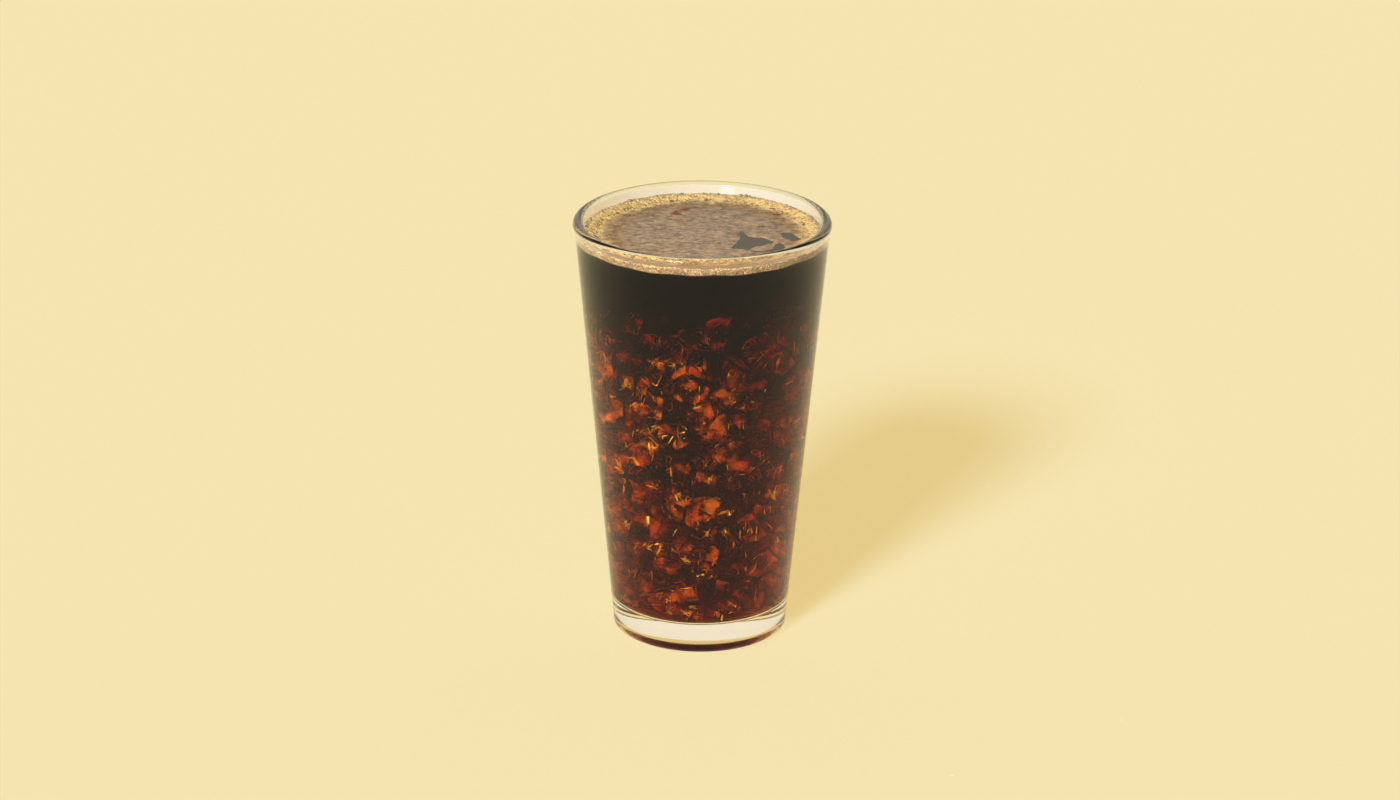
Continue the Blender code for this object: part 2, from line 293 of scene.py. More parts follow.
def floor_corner(grow):
    """The rounded corner between the inner wall and floor, from the wall down, moved out by grow."""
    centre_z = FLOOR_HEIGHT + FLOOR_CORNER
    centre_r = inner_radius(centre_z) - FLOOR_CORNER
    radius = FLOOR_CORNER + grow
    return arc(centre_r, centre_z, radius, radius, -4.0, -87.0, 16)


def line_between(low, high, radius_at, steps, offset=0.0):
    """Points up or down a side, evenly spaced in height, with both ends left out."""
    heights = [low + (high - low) * i / steps for i in range(1, steps)]
    return [(radius_at(z) + offset, z) for z in heights]


def glass_profile():
    foot = outer_radius(FOOT_ROUNDING_HEIGHT) - FOOT_ROUNDING
    ring_inside = foot - FOOT_RING_WIDTH
    recess_radius = ring_inside - FOOT_RECESS_SLOPE
    points = [(0.0, FOOT_RECESS), (0.5 * ring_inside, FOOT_RECESS), (recess_radius, FOOT_RECESS)]
    for i in range(1, 8):
        share = i / 8.0
        rise = 0.5 + 0.5 * math.cos(math.pi * share)
        points.append((ring_inside - FOOT_RECESS_SLOPE * (1.0 - share), FOOT_RECESS * rise))
    points.append((ring_inside, 0.0))
    points += arc(foot, FOOT_ROUNDING_HEIGHT, FOOT_ROUNDING, FOOT_ROUNDING_HEIGHT, -90.0, 0.0, 14)
    points += line_between(FOOT_ROUNDING_HEIGHT, SIDE_TOP, outer_radius, 20)
    rim_centre = GLASS_HEIGHT - RIM_ROUNDING
    points += arc(RIM_RADIUS - RIM_ROUNDING, rim_centre, RIM_ROUNDING, RIM_ROUNDING, -36.0, 180.0, 36)
    corner = floor_corner(0.0)
    points += line_between(SIDE_TOP, corner[0][1], inner_radius, 40)
    points += corner
    for share in (0.8, 0.6, 0.4, 0.2, 0.0):
        points.append((share * corner[-1][0], FLOOR_HEIGHT - FLOOR_DISH * (1.0 - share * share)))
    return points


def drink_profile():
    corner = floor_corner(REACH)
    points = []
    for share in (0.0, 0.2, 0.4, 0.6, 0.8):
        points.append((share * corner[-1][0], FLOOR_HEIGHT - REACH - FLOOR_DISH * (1.0 - share * share)))
    points += reversed(corner)
    points += line_between(corner[0][1], DRINK_TOP, inner_radius, 40, REACH)
    points += [(inner_radius(DRINK_TOP) + REACH, DRINK_TOP), (0.5 * inner_radius(DRINK_TOP), DRINK_TOP)]
    points.append((0.0, DRINK_TOP))
    return points


def turned(profile, segments):
    """A bmesh solid of revolution about +Z; an outline's ends lie on the axis, or meet in a ring."""
    solid = bmesh.new()
    rows = []
    for radius, z in profile:
        if radius < 0.001 * MM:
            rows.append([solid.verts.new((0.0, 0.0, z))])
            continue
        angles = (2.0 * math.pi * i / segments for i in range(segments))
        rows.append([solid.verts.new((radius * math.cos(a), radius * math.sin(a), z)) for a in angles])
    for below, above in zip(rows, rows[1:]):
        for i in range(segments):
            j = (i + 1) % segments
            low_side = [below[i % len(below)], below[j % len(below)]]
            high_side = [above[j % len(above)], above[i % len(above)]]
            solid.faces.new(list(dict.fromkeys(low_side + high_side)))
    bmesh.ops.remove_doubles(solid, verts=solid.verts, dist=0.001 * MM)
    bmesh.ops.recalc_face_normals(solid, faces=solid.faces)
    return solid


def finished(name, solid, materials, sharp_degrees):
    """Turns a bmesh into a piece that rides on the part's one body, smooth but for the sharp edges."""
    mesh = bpy.data.meshes.new(name)
    solid.to_mesh(mesh)
    solid.free()
    for looks in materials:
        mesh.materials.append(looks)
    mesh.shade_smooth()
    mesh.set_sharp_from_angle(angle=math.radians(sharp_degrees))
    piece = link(bpy.data.objects.new(name, mesh))
    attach(piece, "root")
    return piece


def principled(name):
    made = bpy.data.materials.new(name)
    made.use_nodes = True
    return made, made.node_tree.nodes["Principled BSDF"]


def set_inputs(node, **values):
    for name, value in values.items():
        node.inputs[name.replace("_", " ")].default_value = value


def fill_ramp(ramp, stops):
    """Gives a colour ramp its stops, each a place from 0 to 1 and a colour."""
    elements = ramp.color_ramp.elements
    while len(elements) < len(stops):
        elements.new(0.5)
    for element, (place, colour) in zip(elements, stops):
        element.position = place
        element.color = (*colour, 1.0)


def feed(tree, socket, value):
    """Gives a node's socket a plain value, or joins another node's output to it."""
    if isinstance(value, bpy.types.NodeSocket):
        tree.links.new(value, socket)
    else:
        socket.default_value = value


def object_place(tree):
    return tree.nodes.new("ShaderNodeTexCoord").outputs["Object"]


def parts_of(tree, vector):
    """The X, Y and Z parts of a vector, by name."""
    split = tree.nodes.new("ShaderNodeSeparateXYZ")
    tree.links.new(vector, split.inputs[0])
    return split.outputs


def reckoned(tree, operation, *values):
    """The result of a sum on numbers or outputs."""
    node = tree.nodes.new("ShaderNodeMath")
    node.operation = operation
    for socket, value in zip(node.inputs, values):
        feed(tree, socket, value)
    return node.outputs["Value"]


def multiplied(tree, vector, factors):
    """A vector with each of its parts multiplied by its own factor."""
    node = tree.nodes.new("ShaderNodeVectorMath")
    node.operation = "MULTIPLY"
    node.inputs[1].default_value = factors
    tree.links.new(vector, node.inputs[0])
    return node.outputs["Vector"]


def length_of(tree, vector):
    node = tree.nodes.new("ShaderNodeVectorMath")
    node.operation = "LENGTH"
    tree.links.new(vector, node.inputs[0])
    return node.outputs["Value"]


def brightened(tree, colour, factor):
    """A colour multiplied by one factor."""
    node = tree.nodes.new("ShaderNodeVectorMath")
    node.operation = "SCALE"
    tree.links.new(colour, node.inputs[0])
    tree.links.new(factor, node.inputs["Scale"])
    return node.outputs["Vector"]


def remapped(tree, value, before, after, soft=False):
    """A value moved from the range before to the range after, with soft ends if asked."""
    node = tree.nodes.new("ShaderNodeMapRange")
    if soft:
        node.interpolation_type = "SMOOTHSTEP"
    for name, bound in zip(("From Min", "From Max", "To Min", "To Max"), (*before, *after)):
        feed(tree, node.inputs[name], bound)
    tree.links.new(value, node.inputs["Value"])
    return node.outputs["Result"]


def soft_share(tree, value, bounds, most=1.0):
    """A share from 0 to most that rises softly as the value goes from the first bound to the second."""
    return remapped(tree, value, bounds, (0.0, most), soft=True)


def noise(tree, place, size, detail=2.0, roughness=0.5):
    """Cloudy patches of about a size, from 0 to 1."""
    node = tree.nodes.new("ShaderNodeTexNoise")
    set_inputs(node, Scale=1.0 / size, Detail=detail, Roughness=roughness)
    tree.links.new(place, node.inputs["Vector"])
    return node.outputs["Fac"]


def mixed(tree, share, first, second):
    """One colour turning into another as the share goes from 0 to 1."""
    node = tree.nodes.new("ShaderNodeMix")
    node.data_type = "RGBA"
    for name, value in (("Factor", share), ("A", first), ("B", second)):
        feed(tree, node.inputs[name], value)
    return node.outputs["Result"]


def clear_material(name, ior, tint, shine):
    """A clear body; shine lowers the mirror-like part of its surface seen straight on."""
    made, shader = principled(name)
    set_inputs(shader, Base_Color=(*tint, 1.0), Roughness=0.0, IOR=ior, Transmission_Weight=1.0,
               Specular_Tint=(*shine, 1.0))
    return made


def let_lamps_through(made, tint):
    """Lets the key light shine through a clear body, as it does through real glass."""
    tree = made.node_tree
    path = tree.nodes.new("ShaderNodeLightPath")
    clear = tree.nodes.new("ShaderNodeBsdfTransparent")
    clear.inputs["Color"].default_value = (*tint, 1.0)
    mix = tree.nodes.new("ShaderNodeMixShader")
    tree.links.new(path.outputs["Is Shadow Ray"], mix.inputs[0])
    tree.links.new(tree.nodes["Principled BSDF"].outputs["BSDF"], mix.inputs[1])
    tree.links.new(clear.outputs["BSDF"], mix.inputs[2])
    tree.links.new(mix.outputs["Shader"], tree.nodes["Material Output"].inputs["Surface"])


def coffee_material():
    made = clear_material("coffee_body", ICE_CONTRAST, CLEAR, NO_SHINE)
    let_lamps_through(made, CLEAR)
    tree = made.node_tree
    absorb = tree.nodes.new("ShaderNodeVolumeAbsorption")
    most = max(COFFEE_ABSORPTION)
    absorb.inputs["Color"].default_value = (*[1.0 - a / most for a in COFFEE_ABSORPTION], 1.0)
    absorb.inputs["Density"].default_value = most
    tree.links.new(absorb.outputs["Volume"], tree.nodes["Material Output"].inputs["Volume"])
    return made


def bare_coffee_material():
    made, shader = principled("coffee_top")
    set_inputs(shader, Base_Color=(*BARE_COFFEE_COLOUR, 1.0), Roughness=0.04, IOR=WATER_IOR)
    return made


def misted_glass():
    """The wall just above the foam: fogged at the back, clear at the front."""
    made = clear_material("glass_misted", GLASS_IOR, MIST_TINT, GLASS_SHINE)
    tree = made.node_tree
    share = soft_share(tree, parts_of(tree, object_place(tree))["Y"], MIST_SIDES)
    seen_through = reckoned(tree, "MULTIPLY_ADD", share, -MIST, 1.0)
    tree.links.new(seen_through, tree.nodes["Principled BSDF"].inputs["Transmission Weight"])
    return made


def rim_glass_painted_grey():
    """The rounded rim, with a painted reflection: its glass is tinted grey where it is seen at a slant,
    standing for the dark studio.
    """
    made = clear_material("glass_rim_painted_grey", GLASS_IOR, CLEAR, GLASS_SHINE)
    tree = made.node_tree
    slant = tree.nodes.new("ShaderNodeLayerWeight").outputs["Facing"]
    # Painted reflection: the rim's glass turns grey where its surface is seen at a slant
    tint = mixed(tree, soft_share(tree, slant, RIM_PAINTED_GREY_SLANTS), (*CLEAR, 1.0), (*RIM_PAINTED_GREY, 1.0))
    tree.links.new(tint, tree.nodes["Principled BSDF"].inputs["Base Color"])
    return made


def build_glass():
    air_side = clear_material("glass_clear", GLASS_IOR, GLASS_TINT, GLASS_SHINE)
    wet_side = clear_material("glass_wetted", GLASS_IOR * ICE_CONTRAST / COFFEE_IOR, CLEAR, NO_SHINE)
    misted = misted_glass()
    rim = rim_glass_painted_grey()
    let_lamps_through(air_side, GLASS_SHADOW)
    let_lamps_through(wet_side, CLEAR)
    let_lamps_through(misted, CLEAR)
    let_lamps_through(rim, GLASS_SHADOW)
    solid = turned(glass_profile(), GLASS_SEGMENTS)
    for face in solid.faces:
        centre = face.calc_center_median()
        inside = math.hypot(centre.x, centre.y) < inner_radius(centre.z) + 0.5 * WALL
        if inside and MIST_LOW < centre.z < MIST_TOP:
            face.material_index = MISTED_FACES
        elif centre.z > RIM_PAINTED_GREY_LOW:
            face.material_index = RIM_FACES
        elif inside and WET_LOW < centre.z < DRINK_TOP:
            face.material_index = WET_FACES
        else:
            face.material_index = AIR_FACES
    glass = finished("glass_body", solid, [air_side, wet_side, misted, rim], GLASS_SHARP_ANGLE)
    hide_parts("glass")


def scattered_seeds(rng):
    """Middles of the ice pieces: random places, none too close to another, sparser towards the top."""
    seeds = []
    while len(seeds) < ICE_PIECES:
        z = FLOOR_HEIGHT + (ICE_TOP - FLOOR_HEIGHT) * rng.random()
        reach = (inner_radius(z) - ICE_MIDDLE_GAP) * math.sqrt(rng.random())
        angle = 2.0 * math.pi * rng.random()
        place = np.array((reach * math.cos(angle), reach * math.sin(angle), z))
        if rng.random() < smooth_step(ICE_THINNING, ICE_TOP, z):
            continue
        if all(np.linalg.norm(place - other) > ICE_SPACING for other in seeds):
            seeds.append(place)
    return np.array(seeds)


def wall_planes(place, inset):
    """Planes that touch the inner wall and the floor near a place, as unit normals and distances."""
    lean = math.atan2(SIDE_RADIUS_AT_TOP - SIDE_RADIUS_AT_FOOT, SIDE_TOP)
    towards = math.atan2(place[1], place[0])
    normals = [(0.0, 0.0, -1.0), (0.0, 0.0, 1.0)]
    offsets = [-(FLOOR_HEIGHT + ICE_FLOOR_GAP), ICE_TOP]
    for step in range(-ICE_WALL_SIDES, ICE_WALL_SIDES + 1):
        angle = towards + math.radians(ICE_WALL_TURN * step)
        normals.append((math.cos(angle) * math.cos(lean), math.sin(angle) * math.cos(lean), -math.sin(lean)))
        offsets.append((inner_radius(0.0) - inset) * math.cos(lean))
    return normals, offsets


def piece_planes(rng, place, seeds):
    """The planes that bound one ice piece: towards its neighbours, the wall, and a few random breaks."""
    depth = inner_radius(place[2]) - math.hypot(place[0], place[1])
    gap = rng.uniform(*(ICE_GAPS if depth < ICE_FRONT_DEPTH else ICE_INNER_GAPS))
    wall_gap = ICE_WALL_GAPS[0] + (ICE_WALL_GAPS[1] - ICE_WALL_GAPS[0]) * rng.random() ** 1.5
    wall_gap += ICE_TOP_GAP * smooth_step(ICE_DIMMING, ICE_TOP, place[2])
    wall_gap += ICE_BOTTOM_GAP * (1.0 - smooth_step(*ICE_BOTTOM_DIMMING, place[2]))
    normals, offsets = wall_planes(place, wall_gap)
    towards = seeds - place
    distances = np.linalg.norm(towards, axis=1)
    for i in np.argsort(distances)[1:ICE_NEIGHBOURS + 1]:
        normal = towards[i] / distances[i]
        normals.append(normal)
        offsets.append(normal @ place + 0.5 * distances[i] - 0.5 * gap)
    if place[2] > ICE_THINNING:
        normal = np.array((*rng.uniform(-ICE_TOP_TILT, ICE_TOP_TILT, 2), 1.0))
        normal /= np.linalg.norm(normal)
        normals.append(normal)
        offsets.append(normal @ place + rng.uniform(*ICE_TOP_BREAKS))
    for _ in range(int(rng.integers(0, ICE_MOST_BREAKS + 1))):
        normal = rng.normal(size=3)
        normal /= np.linalg.norm(normal)
        normals.append(normal)
        offsets.append(normal @ place + rng.uniform(*ICE_BREAKS))
    return np.array(normals), np.array(offsets)


def body_corners(normals, offsets):
    """Corners of the convex body inside every plane: where three planes meet and no other cuts them off."""
    shallowest = 0.02
    slack = 0.0001 * MM
    triples = np.array(list(itertools.combinations(range(len(normals)), 3)))
    systems = normals[triples]
    usable = np.abs(np.linalg.det(systems)) > shallowest
    corners = np.linalg.solve(systems[usable], offsets[triples][usable][:, :, None])[:, :, 0]
    inside = (corners @ normals.T <= offsets + slack).all(axis=1)
    return corners[inside]


def hull_body(corners, edge, steps=1):
    """The convex body round some corners, with its edges melted round by edge in some steps."""
    body = bmesh.new()
    for corner in corners:
        body.verts.new(corner)
    bmesh.ops.remove_doubles(body, verts=body.verts, dist=ICE_MERGE)
    hull = bmesh.ops.convex_hull(body, input=body.verts)
    loose = [v for v in hull["geom_interior"] if isinstance(v, bmesh.types.BMVert)]
    bmesh.ops.delete(body, geom=loose, context="VERTS")
    flat = math.radians(ICE_FLAT_ANGLE)
    bmesh.ops.dissolve_limit(body, angle_limit=flat, verts=body.verts, edges=body.edges)
    melted = bmesh.ops.bevel(body, geom=body.edges[:], offset=edge, segments=steps, profile=0.5,
                             affect="EDGES", clamp_overlap=True)
    for face in melted["faces"]:
        face.material_index = 1
    bmesh.ops.recalc_face_normals(body, faces=body.faces)
    return body


def add_into(whole, part):
    """Copies one bmesh into another through a mesh."""
    mesh = bpy.data.meshes.new("passing")
    part.to_mesh(mesh)
    part.free()
    whole.from_mesh(mesh)
    bpy.data.meshes.remove(mesh)


def crack(rng, middle, size):
    """A thin curved pocket of air in the ice, as corners and faces: a lens with an uneven outline."""
    sides = int(rng.integers(*CRACK_SIDES))
    turn = np.array(Euler(rng.uniform(0.0, 2.0 * math.pi, 3)).to_matrix())
    angles = 2.0 * np.pi * (np.arange(sides) + rng.uniform(-CRACK_JITTER, CRACK_JITTER, sides)) / sides
    reach = size * rng.uniform(*CRACK_REACHES, sides)
    reach[rng.integers(sides)] *= CRACK_POINT
    stretch = rng.uniform(*CRACK_STRETCHES)
    rim = np.stack([reach * np.cos(angles), stretch * reach * np.sin(angles)], axis=1)
    thickness = size * rng.uniform(*CRACK_THICKNESS)
    curve = rng.uniform(-CRACK_CURVE, CRACK_CURVE) / size
    shape = [(0.0, 0.0, thickness)]
    for share, height in CRACK_RINGS:
        shape += [(share * x, share * y, height * thickness) for x, y in rim]
    shape.append((0.0, 0.0, -thickness))
    shape = np.array(shape)
    shape[:, 2] += curve * (shape[:, :2] ** 2).sum(axis=1)
    faces = []
    for i in range(sides):
        j = (i + 1) % sides
        faces.append((0, 1 + j, 1 + i))
        for row in (1, 1 + sides):
            faces.append((row + i, row + j, row + sides + j, row + sides + i))
        faces.append((1 + 2 * sides + i, 1 + 2 * sides + j, 1 + 3 * sides))
    return middle + shape @ turn.T, faces


def crack_material():
    """Cracks in the ice hold air and mirror the light like thin gold foil, tinted by the coffee."""
    made, shader = principled("ice_cracks")
    set_inputs(shader, Base_Color=(*CRACK_GOLD, 1.0), Metallic=1.0, Roughness=CRACK_ROUGHNESS)
    return made


def patchy_alpha(tree, shader, patches, most):
    """Makes a skin show only in soft patches, given their size and the bounds of their soft edge."""
    size, low, high = patches
    cloud = noise(tree, object_place(tree), size)
    tree.links.new(soft_share(tree, cloud, (low, high), most), shader.inputs["Alpha"])


def skin_material():
    """The ice's faces, which scatter a little of the light that falls through the coffee."""
    made, shader = principled("ice_skin")
    set_inputs(shader, Base_Color=(*SKIN_COLOUR, 1.0), Roughness=0.5, Specular_IOR_Level=0.0)
    patchy_alpha(made.node_tree, shader, SKIN_PATCHES, SKIN_MOST)
    return made


def edge_material():
    """The ice's melted edges, which gather light into thin bright lines."""
    made, shader = principled("ice_edges")
    set_inputs(shader, Base_Color=(*EDGE_COLOUR, 1.0), Roughness=0.35, Metallic=1.0)
    patchy_alpha(made.node_tree, shader, EDGE_PATCHES, EDGE_MOST)
    return made


def crack_place(rng, corners):
    """Middle and size of one crack in a piece of ice, some of them moved close to the glass."""
    middle = rng.dirichlet(np.full(len(corners), CRACK_SPREAD)) @ corners
    middle += CRACK_CENTRING * (corners.mean(axis=0) - middle)
    size = CRACK_SIZES[0] + (CRACK_SIZES[1] - CRACK_SIZES[0]) * rng.random() ** 2.0
    if rng.random() < NEAR_CRACKS:
        size *= NEAR_CRACK_SIZE
        reach = inner_radius(middle[2]) - rng.uniform(*NEAR_CRACK_DEPTHS)
        middle[:2] *= reach / math.hypot(middle[0], middle[1])
    return middle, size


def build_ice(rng):
    """Every ice piece, with the skins and cracks of those close enough to the glass to be seen."""
    ice = bmesh.new()
    skin = bmesh.new()
    crack_points = []
    crack_faces = []
    seeds = scattered_seeds(rng)
    for place in seeds:
        corners = body_corners(*piece_planes(rng, place, seeds))
        if len(corners) < 4 or np.ptp(corners, axis=0).min() < ICE_SMALLEST:
            continue
        body = hull_body(corners, rng.uniform(*ICE_MELTED_EDGES))
        for face in body.faces:
            face.material_index = 0
        add_into(ice, body)
        if math.hypot(place[0], place[1]) < inner_radius(place[2]) - ICE_FRONT_DEPTH:
            continue
        if rng.random() < SKIN_CHANCE:
            middle = corners.mean(axis=0)
            add_into(skin, hull_body(middle + SKIN_INSET * (corners - middle), EDGE_WIDTH, EDGE_STEPS))
        for _ in range(int(rng.choice(CRACKS_A_PIECE))):
            shape, faces = crack(rng, *crack_place(rng, corners))
            if np.any(np.hypot(shape[:, 0], shape[:, 1]) > inner_radius(shape[:, 2]) - ICE_WALL_GAPS[0]):
                continue
            start = len(crack_points)
            crack_points.extend(shape.tolist())
            crack_faces.extend([tuple(start + i for i in face) for face in faces])
    cracks = bmesh.new()
    mesh = bpy.data.meshes.new("passing")
    mesh.from_pydata(crack_points, [], crack_faces)
    cracks.from_mesh(mesh)
    bpy.data.meshes.remove(mesh)
    bmesh.ops.recalc_face_normals(cracks, faces=cracks.faces)
    finished("ice_cracks", cracks, [crack_material()], sharp_degrees=60.0)
    finished("ice_skin", skin, [skin_material(), edge_material()], sharp_degrees=35.0)
    return ice


def build_drink():
    rng = np.random.default_rng(ICE_SEED)
    ice = build_ice(rng)
    bmesh.ops.reverse_faces(ice, faces=ice.faces)
    solid = turned(drink_profile(), DRINK_SEGMENTS)
    add_into(solid, ice)
    drink = finished("coffee_with_ice", solid, [coffee_material()], DRINK_SHARP_ANGLE)
    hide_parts("coffee")


def build_bare_coffee():
    reach = inner_radius(BARE_COFFEE_TOP) - RING_WIDTH
    low = DRINK_TOP + 0.01 * MM
    profile = [(0.0, low), (reach, low), (reach, BARE_COFFEE_TOP), (0.0, BARE_COFFEE_TOP)]
    solid = turned(profile, BARE_COFFEE_SEGMENTS)
    top = finished("coffee_surface", solid, [bare_coffee_material()], sharp_degrees=40.0)


def inside_outline(x, y, outline):
    """Which of the points (x, y) lie inside a closed outline; all in the same unit."""
    inside = np.zeros(x.shape, dtype=bool)
    for (ax, ay), (bx, by) in zip(outline, outline[1:] + outline[:1]):
        crosses = (ay > y) != (by > y)
        with np.errstate(divide="ignore", invalid="ignore"):
            meets = ax + (y - ay) * (bx - ax) / (by - ay)
        inside ^= crosses & (x < meets)
    return inside


def distance_outside(x, y, outlines):
    """How far each point (x, y) lies outside the nearest outline, less than 0 inside; all in one unit."""
    nearest = np.full(x.shape, np.inf)
    inside = np.zeros(x.shape, dtype=bool)
    for outline in outlines:
        inside |= inside_outline(x, y, outline)
        for (ax, ay), (bx, by) in zip(outline, outline[1:] + outline[:1]):
            along = ((x - ax) * (bx - ax) + (y - ay) * (by - ay)) / ((bx - ax) ** 2 + (by - ay) ** 2)
            along = np.clip(along, 0.0, 1.0)
            nearest = np.minimum(nearest, np.hypot(x - ax - along * (bx - ax), y - ay - along * (by - ay)))
    return np.where(inside, -nearest, nearest)


def foam_height(radius):
    """Height of the foam's top: level in the middle, climbing through the ring to the wall."""
    wall = inner_radius(RING_TOP)
    climb = smooth_step(wall - RING_WIDTH, wall - RING_CREST * RING_WIDTH, radius)
    return FOAM_TOP + (RING_TOP - FOAM_TOP) * climb


def relief(rng, x, y, sizes, depth):
    """Soft bumps and pits of several sizes (all lengths in metres)."""
    total = np.zeros(x.shape)
    for size in sizes:
        share = depth * size / max(sizes)
        for _ in range(FILM_WAVES_A_SIZE):
            angle = 2.0 * np.pi * rng.random()
            turn = 2.0 * np.pi * rng.random()
            wave = 2.0 * np.pi / (size * rng.uniform(*FILM_WAVE_SPREAD))
            along = x * np.cos(angle) + y * np.sin(angle)
            total += share / math.sqrt(FILM_WAVES_A_SIZE) * np.sin(wave * along + turn)
    return total


def pits(rng, x, y, count, sizes, depth):
    """Round dents left by burst bubbles."""
    total = np.zeros(x.shape)
    for _ in range(count):
        reach = inner_radius(FOAM_TOP) * math.sqrt(rng.random())
        angle = 2.0 * math.pi * rng.random()
        size = rng.uniform(*sizes)
        away = np.hypot(x - reach * math.cos(angle), y - reach * math.sin(angle)) / size
        total -= depth * (1.0 - smooth_step(FILM_PIT_FLOOR, 1.0, away))
    return total


def foam_colours(name, stops, wander, mottle, softness, roughness, patchwork=0.0):
    """Foam coloured by the distance from the middle, between the stops. Wander makes the colours' edges
    uneven, mottle adds fine streaks, patchwork makes bubbles differ, and light enters by softness."""
    made, shader = principled(name)
    set_inputs(shader, Roughness=roughness, IOR=WATER_IOR, Subsurface_Weight=FOAM_GLOW_WEIGHT,
               Subsurface_Scale=softness, Subsurface_Radius=FOAM_GLOW)
    tree = made.node_tree
    place = object_place(tree)
    away = length_of(tree, multiplied(tree, place, (1.0, 1.0, 0.0)))
    broad = noise(tree, place, FOAM_BROAD_PATCH, detail=3.0)
    shift = reckoned(tree, "MULTIPLY_ADD", broad, wander, -0.5 * wander)
    ramp = tree.nodes.new("ShaderNodeValToRGB")
    fill_ramp(ramp, stops)
    outward = reckoned(tree, "MULTIPLY_ADD", away, 1.0 / inner_radius(RING_TOP), shift)
    tree.links.new(outward, ramp.inputs["Fac"])
    fine = noise(tree, multiplied(tree, place, FOAM_STREAKS), FOAM_FINE_PATCH, detail=5.0, roughness=0.7)
    streaked = remapped(tree, fine, FOAM_STREAK_BOUNDS, (1.0 - mottle, 1.0 + mottle))
    bubble = tree.nodes.new("ShaderNodeNewGeometry").outputs["Random Per Island"]
    uneven = remapped(tree, bubble, (0.0, 1.0), (1.0 - patchwork, 1.0 + patchwork))
    colour = brightened(tree, ramp.outputs["Color"], reckoned(tree, "MULTIPLY", streaked, uneven))
    tree.links.new(colour, shader.inputs["Base Color"])
    return made


def redden_and_paint_dimple_shade(made):
    """Tints the film's thin spots red, lightens its front and paints the shade of small dimples into its
    colour as darker round spots.
    """
    tree = made.node_tree
    base = tree.nodes["Principled BSDF"].inputs["Base Color"]
    plain = base.links[0].from_socket
    place = object_place(tree)
    slope = -FILM_FRONT_LIGHT / inner_radius(RING_TOP)
    front = reckoned(tree, "MULTIPLY_ADD", parts_of(tree, place)["Y"], slope, 1.0)
    cells = tree.nodes.new("ShaderNodeTexVoronoi")
    cells.inputs["Scale"].default_value = 1.0 / DIMPLE_SPACING
    tree.links.new(place, cells.inputs["Vector"])
    size = remapped(tree, noise(tree, place, DIMPLE_PATCH), DIMPLE_PATCH_BOUNDS, DIMPLE_SIZES)
    # Painted shade: the film's colour darkens in small round spots, as in the hollows of dimples
    painted_dimple_shade = remapped(tree, cells.outputs["Distance"], (0.0, size), (PAINTED_DIMPLE_SHADE, 1.0), soft=True)
    shaded = brightened(tree, plain, reckoned(tree, "MULTIPLY", front, painted_dimple_shade))
    thin = tree.nodes.new("ShaderNodeAttribute")
    thin.attribute_name = "thin"
    tree.links.new(mixed(tree, thin.outputs["Fac"], shaded, (*THIN_RED, 1.0)), base)


def build_foam_film():
    """The foam's top: a fine grid of rings with pits and bumps, open where bare coffee shows."""
    rng = np.random.default_rng(FOAM_SEED)
    wall = inner_radius(RING_TOP) + FILM_REACH
    radii = np.linspace(0.0, wall, FILM_ROWS + 1)[1:]
    angles = 2.0 * np.pi * np.arange(FILM_COLUMNS) / FILM_COLUMNS
    radius, angle = np.meshgrid(radii, angles, indexing="ij")
    x = radius * np.cos(angle)
    y = radius * np.sin(angle)
    fade = 1.0 - smooth_step(wall - FILM_EDGE, wall, radius)
    rise = relief(rng, x, y, FILM_WAVES, FILM_RELIEF)
    rise += pits(rng, x, y, FILM_PITS, FILM_PIT_SIZES, FILM_PIT_DEPTH)
    rise = np.where(rise > 0.0, rise, FILM_DEPTH * (np.exp(rise / FILM_DEPTH) - 1.0))
    z = foam_height(radius) + fade * rise
    away = MM * distance_outside(x / MM, y / MM, FOAM_OPENINGS.values())
    away += relief(rng, x, y, FILM_WAVES, OPENING_WANDER)
    z = BARE_COFFEE_TOP + (z - BARE_COFFEE_TOP) * smooth_step(0.0, OPENING_SLOPE, away)
    z += OPENING_DIP * np.clip(away / OPENING_SLOPE, -1.0, 0.0)
    thin = smooth_step(*THIN_SPOT_EDGE, -distance_outside(x / MM, y / MM, THIN_SPOTS.values()))
    film = bmesh.new()
    shade = film.verts.layers.float.new("thin")
    rows = []
    for row in zip(x, y, z, thin):
        rows.append([])
        for *place, redness in zip(*row):
            corner = film.verts.new(place)
            corner[shade] = redness
            rows[-1].append(corner)
    for below, above in zip(rows, rows[1:]):
        for j in range(FILM_COLUMNS):
            k = (j + 1) % FILM_COLUMNS
            film.faces.new((below[j], above[j], above[k], below[k]))
    film.faces.new(rows[0])
    looks = foam_colours("foam_film", FOAM_STOPS, FOAM_WANDER, mottle=0.45, softness=0.2 * MM,
                         roughness=0.55)
    redden_and_paint_dimple_shade(looks)
    piece = finished("foam_film", film, [looks], sharp_degrees=60.0)
    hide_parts("foam")


def scattered_bubbles(rng, count, place_of, sizes):
    """Centres and radii of bubbles that barely touch, each placed by place_of(radius of the bubble)."""
    centres = np.zeros((0, 3))
    radii = np.zeros(0)
    for radius in sorted(sizes[0] + (sizes[1] - sizes[0]) * rng.random(count) ** 3.0)[::-1]:
        for _ in range(BUBBLE_TRIES):
            centre = np.array(place_of(radius))
            if np.all(np.linalg.norm(centres - centre, axis=1) > BUBBLE_SPACING * (radii + radius)):
                centres = np.vstack([centres, centre])
                radii = np.append(radii, radius)
                break
    return centres, radii


